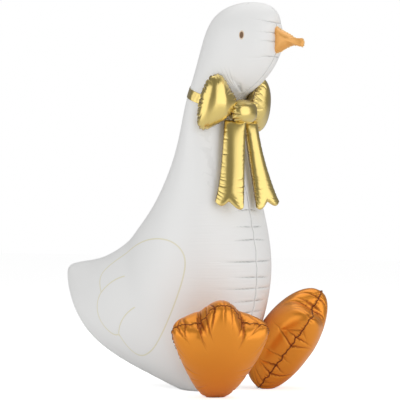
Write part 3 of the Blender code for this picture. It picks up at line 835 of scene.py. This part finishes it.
def make_tail(name, sign, seed):
    draw = np.random.default_rng(seed)
    sheets = []
    even = np.linspace(-1, 1, TAIL_COLUMNS + 1)
    across = np.sin(math.pi / 2 * even)
    down = np.linspace(0, 1, TAIL_ROWS + 1) ** 0.85
    grids = {sheet: tail_place(sign, across[None, :], down[:, None], sheet) for sheet in (1, -1)}
    levels = {sheet: np.zeros(grids[sheet].shape[:2]) for sheet in (1, -1)}
    for edge in (-1, 1):
        place = 0.02
        while place < 0.98:
            tilt = draw.uniform(-0.02, 0.03)
            crumpled = 1 + 0.5 * (place > 0.62)
            for sheet in (1, -1):
                vs = edge * (1 - np.linspace(0, draw.uniform(0.25, 0.7) * crumpled, 8))
                alongs = np.clip(place + tilt * np.linspace(0, 1, 8), 0, 1)
                path = tail_place(sign, vs, alongs, sheet)
                depth = draw.uniform(0.5, 1.8) * MM * crumpled
                press(levels[sheet], grids[sheet], path, depth * (1 - np.linspace(0, 1, 8)),
                      2.0 * MM)
            place += draw.uniform(0.03, 0.11) / crumpled
    for sheet, grid in grids.items():
        deselect_all()
        bpy.ops.mesh.primitive_grid_add(x_subdivisions=TAIL_COLUMNS, y_subdivisions=TAIL_ROWS, size=2)
        half = bpy.context.object
        out = np.cross(np.gradient(grid, axis=1), np.gradient(grid, axis=0))
        out /= np.maximum(np.linalg.norm(out, axis=-1, keepdims=True), 1e-12)
        out *= np.sign((out * bow_ahead).sum()) * sheet
        places = grid + out * levels[sheet][..., None]
        column = np.rint([(v.co.x + 1) / 2 * TAIL_COLUMNS for v in half.data.vertices]).astype(int)
        row = np.rint([(1 - v.co.y) / 2 * TAIL_ROWS for v in half.data.vertices]).astype(int)
        edge = (column == 0) | (column == TAIL_COLUMNS) | (row == 0) | (row == TAIL_ROWS)
        carried = np.where(edge[:, None], grid[row, column], places[row, column])
        carry(half, clear_of(carried, goose_skin, band_skin, knot_skin))
        near = np.minimum(np.minimum(column, TAIL_COLUMNS - column) / 5, 4) * 2 * MM
        paint(half, "seam_distance", near)
        paint(half, "fold", -levels[sheet][row, column])
        sheets.append(half)
    deselect_all()
    for half in sheets:
        half.select_set(True)
    bpy.context.view_layer.objects.active = sheets[0]
    bpy.ops.object.join()
    tail = bpy.context.object
    tail.name = name
    face_outwards(tail)
    return tail


tail_right = make_tail("bow_tail_right_foil", -1, 8)
tail_left = make_tail("bow_tail_left_foil", 1, 9)

# %% [markdown]
# The beak is a small cushion welded on over the face seam. Its tip is narrow, so the foil
# there is all pleats. Its root is welded into the face, so it reaches a little into the head.
# %% beak
BEAK_OUTLINE = ((-0.18, 0.34), (0.05, 0.36), (0.45, 0.14), (0.72, 0.00), (0.94, -0.02),
                (0.95, -0.26), (0.72, -0.23), (0.30, -0.29), (-0.18, -0.38))
BEAK_CENTRE = (0.28, 0.0)
BEAK_LENGTH = 96 * MM
BEAK_HALF_WIDTH = 23 * MM
BEAK_HEIGHT_MM = 1113

face_front = max(smooth_rows(profile, np.linspace(10.5, LAST_RING, 80))[:, 2])
beak_centre = world(0, face_front + BEAK_CENTRE[0] * BEAK_LENGTH, BEAK_HEIGHT_MM * MM)
beak_outline = (closed_curve(BEAK_OUTLINE, 260) - np.array(BEAK_CENTRE)) * BEAK_LENGTH
beak_grid = cushion_grid(beak_outline, beak_centre, world(0, 1, 0), UP, np.array((1.0, 0, 0)),
                         BEAK_HALF_WIDTH, BEAK_HALF_WIDTH, 61)
beak_level = np.zeros(beak_grid.shape[:2])
draw = np.random.default_rng(3)
seam_pleats(beak_level, beak_grid, draw, 0.011, 0.014, 2.4 * MM, 1.8 * MM)
seam_pleats(beak_level, beak_grid, draw, 0.009, 0.020, 3.4 * MM, 1.8 * MM,
            where=lambda p: -p[1] > face_front + 0.5 * BEAK_LENGTH)
beak = blown("beak_foil", beak_grid, beak_centre, np.array((1.0, 0, 0)), BEAK_HALF_WIDTH,
             BEAK_HALF_WIDTH, beak_level, (), draw, rim=2.0 * MM, sway=0.8 * MM)

# %% [markdown]
# Each foot is one big cushion that stands on its heel and leans on the belly. Its top seam runs
# over three toes, with a notch between two of them, and long folds run down from the notches.
# The rest of the seam is drawn up into pleats a few centimetres apart.
# %% feet
FOOT_HALF_OUTLINE = ((0.0, 0.0), (0.30, 0.025), (0.67, 0.30), (0.98, 0.62), (0.93, 0.77),
                     (0.48, 0.81), (0.30, 0.91), (0.0, 1.0))
FOOT_LENGTH = 370 * MM
FOOT_HALF_WIDTH = 143 * MM
FOOT_FRONT, FOOT_BACK = 84 * MM, 102 * MM
FOOT_SQUASH = 3 * MM
FOOT_CENTRE = 0.47
FOOT_NOTCH_DEG = 27.0
FOOT_GROOVE, FOOT_GROOVE_DEG = 0.3, 7.0
FOOT_COLUMNS, FOOT_ROWS = 400, 103
FOLD_DEPTH = 8 * MM


def make_foot(name, heel_mm, turn_deg, lean_deg, seed):
    turn, lean = math.radians(turn_deg), math.radians(lean_deg)
    across = world(math.cos(turn), -math.sin(turn), 0)
    facing = world(math.sin(turn), math.cos(turn), 0)
    along = facing * math.sin(lean) + UP * math.cos(lean)
    sole = facing * math.cos(lean) - UP * math.sin(lean)
    half = [(x * FOOT_HALF_WIDTH, y * FOOT_LENGTH) for x, y in FOOT_HALF_OUTLINE]
    seam = half + [(-x, y) for x, y in half[-2:0:-1]]
    outline = closed_curve(seam, FOOT_COLUMNS) - np.array((0, FOOT_CENTRE * FOOT_LENGTH))
    reach = FOOT_COLUMNS * 3 // 32
    core = sum(np.roll(outline, k, axis=0) for k in range(-reach, reach + 1)) / (2 * reach + 1)
    core *= np.abs(outline).max() / np.abs(core).max()
    bearing = np.degrees(np.arctan2(np.abs(outline[:, 0]), outline[:, 1]))
    groove = FOOT_GROOVE * np.exp(-((bearing - FOOT_NOTCH_DEG) / FOOT_GROOVE_DEG) ** 2)
    centre = world(*np.array(heel_mm) * MM, 0) + FOOT_CENTRE * FOOT_LENGTH * along
    grid = cushion_grid(outline, centre, across, along, sole, FOOT_FRONT, FOOT_BACK,
                        FOOT_ROWS, groove, core)
    lowest = grid[..., 2].min() + FOOT_SQUASH
    grid[..., 2] -= lowest
    centre = centre - UP * lowest
    level = np.zeros(grid.shape[:2])
    draw = np.random.default_rng(seed)
    distance = seam_distance(grid, FOOT_ROWS // 2)
    for notch in (-1, 1):
        column = int(np.argmin(np.abs(bearing - FOOT_NOTCH_DEG) + 1000 * (outline[:, 0] * notch < 0)))
        for side, length, drift in ((1, 0.125, -6), (1, 0.080, 10), (-1, 0.10, 4)):
            rows = range(FOOT_ROWS // 2, FOOT_ROWS // 2 + side * 46, side * 2)
            path = [grid[row, (column + int(notch * drift * distance[row, column] / length))
                         % FOOT_COLUMNS] for row in rows if distance[row, column] < length]
            press(level, grid, path, FOLD_DEPTH * (1 - np.linspace(0, 1, len(path))) ** 0.8, 4.2 * MM)
    seam_pleats(level, grid, draw, 0.036, 0.095, 7.0 * MM, 2.9 * MM, lean=0.6)
    seam_pleats(level, grid, draw, 0.013, 0.016, 3.6 * MM, 2.4 * MM)
    foot = blown(name, grid, centre, sole, FOOT_FRONT, FOOT_BACK, level, (goose_skin,), draw,
                 rim=4.2 * MM, weld=1.9 * MM, sway=2.8 * MM)
    for vertex in foot.data.vertices:
        vertex.co.z = max(vertex.co.z, 0)
    return foot


foot_right = make_foot("foot_right_foil", (-160, 153), -49, 40, 13)
foot_left = make_foot("foot_left_foil", (118, 136), 39, 34, 14)

# %% [markdown]
# Foil is a film of nylon or polyester, a few hundredths of a millimetre thick, with aluminium
# on it. Bare, it is a mirror. Inks over it make it gold, orange or a dull white.
# Colours are written as on a screen, and one function turns them into light.
# %% colour and nodes


def colour(hex_code):
    """A screen colour such as E0A030 as linear light."""
    parts = [int(hex_code[i:i + 2], 16) / 255 for i in (0, 2, 4)]
    return (*(p / 12.92 if p <= 0.04045 else ((p + 0.055) / 1.055) ** 2.4 for p in parts), 1.0)


def add_node(material, kind, settings=(), **links):
    """Add a node, set its properties and sockets, and link what feeds it.

    A socket is given by its name or its number, and in a link as i0, i1 and so on.
    """
    node = material.node_tree.nodes.new(kind)
    for key, value in dict(settings).items():
        if hasattr(node, str(key)):
            setattr(node, key, value)
        else:
            node.inputs[key].default_value = value
    for socket, source in links.items():
        name = int(socket[1:]) if socket[1:].isdigit() else socket.replace("_", " ")
        material.node_tree.links.new(source, node.inputs[name])
    return node


def new_material(name, roughness, metallic):
    material = bpy.data.materials.new(name)
    material.use_nodes = True
    shader = material.node_tree.nodes["Principled BSDF"]
    shader.inputs["Roughness"].default_value = roughness
    shader.inputs["Metallic"].default_value = metallic
    return material, shader


def feed(material, shader, socket, output):
    material.node_tree.links.new(output, shader.inputs[socket])


print("mid grey as light:", round(colour("808080")[0], 3))

# %% [markdown]
# All the foils have three things in common: a fine crumple that blown film keeps, painted shade
# deep in the folds, and a line painted along the weld, where both sheets are melted together:
# painted shade on the gold and the orange foil, a paler colour on the beak. They read the numbers
# that were stored on the vertices, so the same functions serve every piece.
# %% crumple, folds and weld


def crumple(material, shader, size_mm, height_mm, strength):
    """A fine random bump, for the crumpled look that blown foil keeps."""
    place = add_node(material, 'ShaderNodeTexCoord')
    noise = add_node(material, 'ShaderNodeTexNoise',
                     {"Scale": 1000 / size_mm, "Detail": 3.0, "Roughness": 0.55},
                     Vector=place.outputs["Object"])
    bump = add_node(material, 'ShaderNodeBump', {"Strength": strength, "Distance": height_mm * MM},
                    Height=noise.outputs["Fac"])
    feed(material, shader, "Normal", bump.outputs["Normal"])


def fold_shade_share(material, shallow_mm, deep_mm, most):
    """How much painted shade shows in a fold, from the depth stored for each vertex."""
    depth = add_node(material, 'ShaderNodeAttribute', {"attribute_name": "fold"})
    ramp = add_node(material, 'ShaderNodeMapRange',
                    {"From Min": shallow_mm * MM, "From Max": deep_mm * MM, "To Max": most},
                    Value=depth.outputs["Fac"])
    return ramp.outputs["Result"]


def weld_line_and_fold_shade(material, shader, plain, weld, width_mm, fold):
    """The foil's colour, another painted in a narrow line along the weld, and painted shade in the
    folds.
    """
    near = add_node(material, 'ShaderNodeAttribute', {"attribute_name": "seam_distance"})
    ramp = add_node(material, 'ShaderNodeMapRange',
                    {"From Max": width_mm * MM, "interpolation_type": 'SMOOTHSTEP'},
                    Value=near.outputs["Fac"])
    # Painted shade in the folds, by their depth, then the weld line's colour over it.
    fold_shaded = add_node(material, 'ShaderNodeMix',
                      {"data_type": 'RGBA', 6: colour(plain), 7: colour(fold)},
                      i0=fold_shade_share(material, 0.8, 4.0, 0.8))
    tinted = add_node(material, 'ShaderNodeMix', {"data_type": 'RGBA', 6: colour(weld)},
                      i0=ramp.outputs["Result"], i7=fold_shaded.outputs[2])
    feed(material, shader, "Base Color", tinted.outputs[2])
    print(material.name, "weld line", width_mm, "mm wide on each side")


print("numbers that the knot's material can read:",
      [layer.name for layer in knot_foil.data.attributes if layer.data_type == 'FLOAT'])


# %% [markdown]
# Gold foil is the bare aluminium under a clear yellow lacquer. It mirrors the room softly, so
# bright boxes and dark gaps show as bands, and its own colour is deep. The lacquer's own gloss
# is white, which makes the highlights paler. Along the weld and in the folds a darker brown is
# painted, as painted shade.
# %% gold foil
gold_foil, shader = new_material("gold_lacquered_foil", 0.28, 1.0)
shader.inputs["Coat Weight"].default_value = 1.0
shader.inputs["Coat Roughness"].default_value = 0.22
shader.inputs["Coat IOR"].default_value = 1.9
weld_line_and_fold_shade(gold_foil, shader, "E4C866", "6A4408", 2.6, "704804")
crumple(gold_foil, shader, 9.0, 1.0, 0.15)

# %% [markdown]
# The feet are printed in an orange ink over the metal, which dulls it to a satin. The beak has
# the same ink, thinner and paler. Both get painted shade, a darker orange, in their folds. Along
# the weld the feet get painted shade in dark brown, and the beak a paler line.
# %% orange foil
orange_foil, shader = new_material("orange_inked_foil", 0.33, 0.65)
weld_line_and_fold_shade(orange_foil, shader, "EE9630", "6C300E", 4.2, "98440C")
crumple(orange_foil, shader, 14.0, 1.2, 0.15)
pale_orange_foil, shader = new_material("pale_orange_inked_foil", 0.36, 0.25)
weld_line_and_fold_shade(pale_orange_foil, shader, "F0B060", "F8D8A0", 4.0, "D88830")
crumple(pale_orange_foil, shader, 10.0, 1.2, 0.2)

# %% [markdown]
# The white is an opaque matt ink, so the metal no longer mirrors but keeps a wide soft sheen.
# The eye and the wing line are printed on it: an oval in the side view, and thin cream lines.
# Two short feather lines start where the wing's outline comes to a point, each an arc.
# %% white foil with the printed eye and wing
EYE_MM = (213, 1125)
EYE_HALF_MM = (5.6, 10.2)
EYE_RING = 1.4                   # the pale ring's size, as a share of the eye's
# FAN_SHADE is how much painted shade, a grey, lies in the lines of the throat's fan.
FAN_SHADE, FAN_DEPTH = 0.55, 1.3  # how grey and how deep the throat's fan is
LINE_WIDTH_MM = 4.2
UPPER_FEATHER_MM = ((-280, 310), (-222, 350), (-170, 366))
LOWER_FEATHER_MM = ((-200, 181), (-160, 238), (-108, 270))

white_foil, shader = new_material("white_inked_foil", 0.42, 0.0)
place = add_node(white_foil, 'ShaderNodeTexCoord')
outline = add_node(white_foil, 'ShaderNodeAttribute', {"attribute_name": "wing_distance"})
half_line = LINE_WIDTH_MM / 2 * MM
wing = add_node(white_foil, 'ShaderNodeMath', {"operation": 'COMPARE', 1: 0.0, 2: half_line},
                i0=outline.outputs["Fac"])
side_view = add_node(white_foil, 'ShaderNodeMapping', {"Scale": (0.0, -1.0, 1.0)},
                     Vector=place.outputs["Object"])
for feather in (UPPER_FEATHER_MM, LOWER_FEATHER_MM):
    start, through, end = np.array(feather) * MM
    spokes = 2 * np.array((through - start, end - start))
    middle = np.linalg.solve(spokes, (np.array((through, end)) ** 2).sum(1) - (start ** 2).sum())
    radius = np.linalg.norm(start - middle)
    top = middle + radius * (start + end - 2 * middle) / np.linalg.norm(start + end - 2 * middle)
    away = add_node(white_foil, 'ShaderNodeVectorMath',
                    {"operation": 'DISTANCE', 1: (0, *middle)}, i0=side_view.outputs["Vector"])
    circle = add_node(white_foil, 'ShaderNodeMath',
                      {"operation": 'COMPARE', 1: radius, 2: half_line}, i0=away.outputs["Value"])
    off_top = add_node(white_foil, 'ShaderNodeVectorMath',
                       {"operation": 'DISTANCE', 1: (0, *top)}, i0=side_view.outputs["Vector"])
    nearby = add_node(white_foil, 'ShaderNodeMath',
                      {"operation": 'LESS_THAN', 1: np.linalg.norm(start - top)},
                      i0=off_top.outputs["Value"])
    arc = add_node(white_foil, 'ShaderNodeMath', {"operation": 'MULTIPLY'},
                   i0=circle.outputs[0], i1=nearby.outputs[0])
    wing = add_node(white_foil, 'ShaderNodeMath', {"operation": 'MAXIMUM'},
                    i0=wing.outputs[0], i1=arc.outputs[0])
    print("feather stroke, radius", round(radius / MM), "mm")

# %% [markdown]
# The eye is an oval in the side view. A Mapping node moves and stretches the side view until
# the oval is a circle of radius 1, and then the length of the vector tells what is inside it.
# The printed colours, then painted shade in the folds and in the throat's fan, are laid over the
# white one after another.
# %% the printed eye, and the inks and painted shade together
eye_place = add_node(white_foil, 'ShaderNodeMapping',
                     {"Location": (0.0, *(-m / h for m, h in zip(EYE_MM, EYE_HALF_MM))),
                      "Scale": (0.0, *(1 / (h * MM) for h in EYE_HALF_MM))},
                     Vector=side_view.outputs["Vector"])
eye_radius = add_node(white_foil, 'ShaderNodeVectorMath', {"operation": 'LENGTH'},
                      i0=eye_place.outputs["Vector"])
eye = add_node(white_foil, 'ShaderNodeMath', {"operation": 'LESS_THAN', 1: 1.0},
               i0=eye_radius.outputs["Value"])
eye_ring = add_node(white_foil, 'ShaderNodeMath', {"operation": 'LESS_THAN', 1: EYE_RING},
                    i0=eye_radius.outputs["Value"])
fan_counted = add_node(white_foil, 'ShaderNodeAttribute', {"attribute_name": "fan_count"})
fan_shared = add_node(white_foil, 'ShaderNodeAttribute', {"attribute_name": "fan_share"})
fan_wave = add_node(white_foil, 'ShaderNodeMath', {"operation": 'PINGPONG', 1: 0.5},
                    i0=fan_counted.outputs["Fac"])
fan_line = add_node(white_foil, 'ShaderNodeMapRange',
                    {"From Max": 0.22, "To Min": 1.0, "To Max": 0.0,
                     "interpolation_type": 'SMOOTHSTEP'}, Value=fan_wave.outputs[0])
fan = add_node(white_foil, 'ShaderNodeMath', {"operation": 'MULTIPLY'},
               i0=fan_line.outputs["Result"], i1=fan_shared.outputs["Fac"])
fan_painted_shade = add_node(white_foil, 'ShaderNodeMath', {"operation": 'MULTIPLY', 1: FAN_SHADE},
                    i0=fan.outputs[0])
inked_and_shaded = add_node(white_foil, 'ShaderNodeMix',
                 {"data_type": 'RGBA', 6: colour("EEEEED"), 7: colour("E4E0CA")},
                 i0=wing.outputs[0])
# After the print come painted shade in the folds, a grey by their stored depth, and painted shade in
# the fan's lines.
for ink_and_shade, share in (("E4CDB4", eye_ring.outputs[0]), ("7A5A3C", eye.outputs[0]),
                   ("868684", fold_shade_share(white_foil, 1.0, 3.6, 0.7)),
                   ("9C9C9A", fan_painted_shade.outputs[0])):
    inked_and_shaded = add_node(white_foil, 'ShaderNodeMix', {"data_type": 'RGBA', 7: colour(ink_and_shade)},
                     i0=share, i6=inked_and_shaded.outputs[2])
feed(white_foil, shader, "Base Color", inked_and_shaded.outputs[2])
print("eye", *(round(2 * h) for h in EYE_HALF_MM), "mm")

# %% [markdown]
# The relief that the mesh is too coarse for is a bump: the fan at the throat, level ripples 4 to
# 8 mm apart on the breast, from a noise stretched sideways, and the faint crumple of the film.
# %% the white foil's fine relief
RIPPLE_SCALE = (6.0, 6.0, 170.0)  # per metre: long sideways, about 6 mm from one to the next
FILM_MM = 26

stretched = add_node(white_foil, 'ShaderNodeMapping', {"Scale": RIPPLE_SCALE},
                     Vector=place.outputs["Object"])
ripples = add_node(white_foil, 'ShaderNodeTexNoise', {"Scale": 1.0, "Detail": 1.0},
                   Vector=stretched.outputs["Vector"])
breast = add_node(white_foil, 'ShaderNodeAttribute', {"attribute_name": "ripple_share"})
rippled = add_node(white_foil, 'ShaderNodeMath', {"operation": 'MULTIPLY'},
                   i0=ripples.outputs["Fac"], i1=breast.outputs["Fac"])
relief = add_node(white_foil, 'ShaderNodeMath', {"operation": 'MULTIPLY_ADD', 1: -FAN_DEPTH},
                  i0=fan.outputs[0], i2=rippled.outputs[0])
film = add_node(white_foil, 'ShaderNodeTexNoise', {"Scale": 1000 / FILM_MM, "Detail": 3.0},
                Vector=place.outputs["Object"])
film_bump = add_node(white_foil, 'ShaderNodeBump', {"Strength": 0.10, "Distance": 1.5 * MM},
                     Height=film.outputs["Fac"])
fine_bump = add_node(white_foil, 'ShaderNodeBump', {"Strength": 0.35, "Distance": 1.6 * MM},
                     Height=relief.outputs[0], Normal=film_bump.outputs["Normal"])
feed(white_foil, shader, "Normal", fine_bump.outputs["Normal"])
print("white foil has", len(white_foil.node_tree.nodes), "nodes")

# %% [markdown]
# Each new piece takes its foil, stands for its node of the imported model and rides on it. The
# balloon has no moving part, so the one body is the root.
# %% hand the pieces to the frame
PIECES = (
    (goose, "body", "white_foil", white_foil),
    (beak, "beak", "pale_orange_foil", pale_orange_foil),
    (foot_right, "foot_right", "orange_foil", orange_foil),
    (foot_left, "foot_left", "orange_foil", orange_foil),
    (band, "neck_band", "gold_foil", gold_foil),
    (knot_foil, "bow_knot", "gold_foil", gold_foil),
    (loop_right, "bow_loop_right", "gold_foil", gold_foil),
    (loop_left, "bow_loop_left", "gold_foil", gold_foil),
    (tail_right, "bow_tail_right", "gold_foil", gold_foil),
    (tail_left, "bow_tail_left", "gold_foil", gold_foil))
for piece, node_name, slot_name, foil in PIECES:
    piece.data.materials.clear()
    piece.data.materials.append(foil)
    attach(piece, "root")
    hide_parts(node_name)
print(len(PIECES), "pieces stand for", len(frame["nodes"]), "nodes")

# %% [markdown]
# The floor is a plain white sheet. A little glow, for the camera alone, keeps it white where the
# boxes don't reach, and the soft shadow under the balloon still shows.
# %% floor
deselect_all()
bpy.ops.mesh.primitive_plane_add(size=24.0, location=(0, 0, 0))
floor = bpy.context.object
floor.name = "floor"
floor_paint, shader = new_material("white_floor", 0.9, 0.0)
shader.inputs["Base Color"].default_value = colour("F4F4F4")
shader.inputs["Emission Color"].default_value = colour("FFFFFF")
seen = add_node(floor_paint, 'ShaderNodeLightPath')
glow = add_node(floor_paint, 'ShaderNodeMath', {"operation": 'MULTIPLY', 1: 0.62},
                i0=seen.outputs["Is Camera Ray"])
feed(floor_paint, shader, "Emission Strength", glow.outputs[0])
floor.data.materials.append(floor_paint)
print("floor", *floor.dimensions.to_tuple(1)[:2], "m")

# %% [markdown]
# Two big soft boxes stand to the left and right of the camera, and one hangs overhead, behind the
# goose. Big boxes near by give soft edges and few shadows, as in the photograph.
# %% soft boxes
SOFT_BOXES = (
    # name, turn from the camera in degrees, distance, height, width, tall, watts
    ("left box", -52, 3.2, 1.3, 3.8, 3.2, 45),
    ("right box", 55, 3.2, 1.3, 3.8, 3.2, 48),
    ("top box", 150, 0.8, 3.4, 3.0, 3.0, 34))
for name, box_turn, distance, up, width, tall, watts in SOFT_BOXES:
    angle = math.radians(VIEW_TURN_DEG + box_turn)
    light = bpy.data.lights.new(name, 'AREA')
    light.shape = 'RECTANGLE'
    light.size, light.size_y = width, tall
    light.energy = watts
    lamp = bpy.data.objects.new(name, light)
    lamp.location = (distance * math.sin(angle), -distance * math.cos(angle), up)
    aim = Vector(VIEW_TARGET) - lamp.location
    lamp.rotation_euler = aim.to_track_quat('-Z', 'Y').to_euler()
    bpy.context.scene.collection.objects.link(lamp)

print(len(SOFT_BOXES), "soft boxes")

# %% [markdown]
# The room is white for the camera. Between the boxes it is darker, and that gap is what the gold
# shows as dark upright bands. What a glossy surface mirrors of the room is darker than the light
# that falls on a matt one, as in a studio with black cards round the set.
# %% room
ROOM_LIGHT, ROOM_GLOSS = 0.42, 0.24

world_light = bpy.data.worlds.new("studio")
bpy.context.scene.world = world_light
world_light.use_nodes = True
backdrop = world_light.node_tree.nodes["Background"]
backdrop.inputs["Color"].default_value = colour("FFFFFF")
ray = add_node(world_light, 'ShaderNodeLightPath')
room = add_node(world_light, 'ShaderNodeMix', {"data_type": 'FLOAT', 2: ROOM_LIGHT, 3: ROOM_GLOSS},
                i0=ray.outputs["Is Glossy Ray"])
seen_room = add_node(world_light, 'ShaderNodeMix', {"data_type": 'FLOAT', 3: 1.0},
                     i0=ray.outputs["Is Camera Ray"], i2=room.outputs[0])
world_light.node_tree.links.new(seen_room.outputs[0], backdrop.inputs["Strength"])
bpy.context.scene.view_settings.view_transform = 'Standard'
print("room strength", ROOM_LIGHT, "on matt and", ROOM_GLOSS, "on glossy")
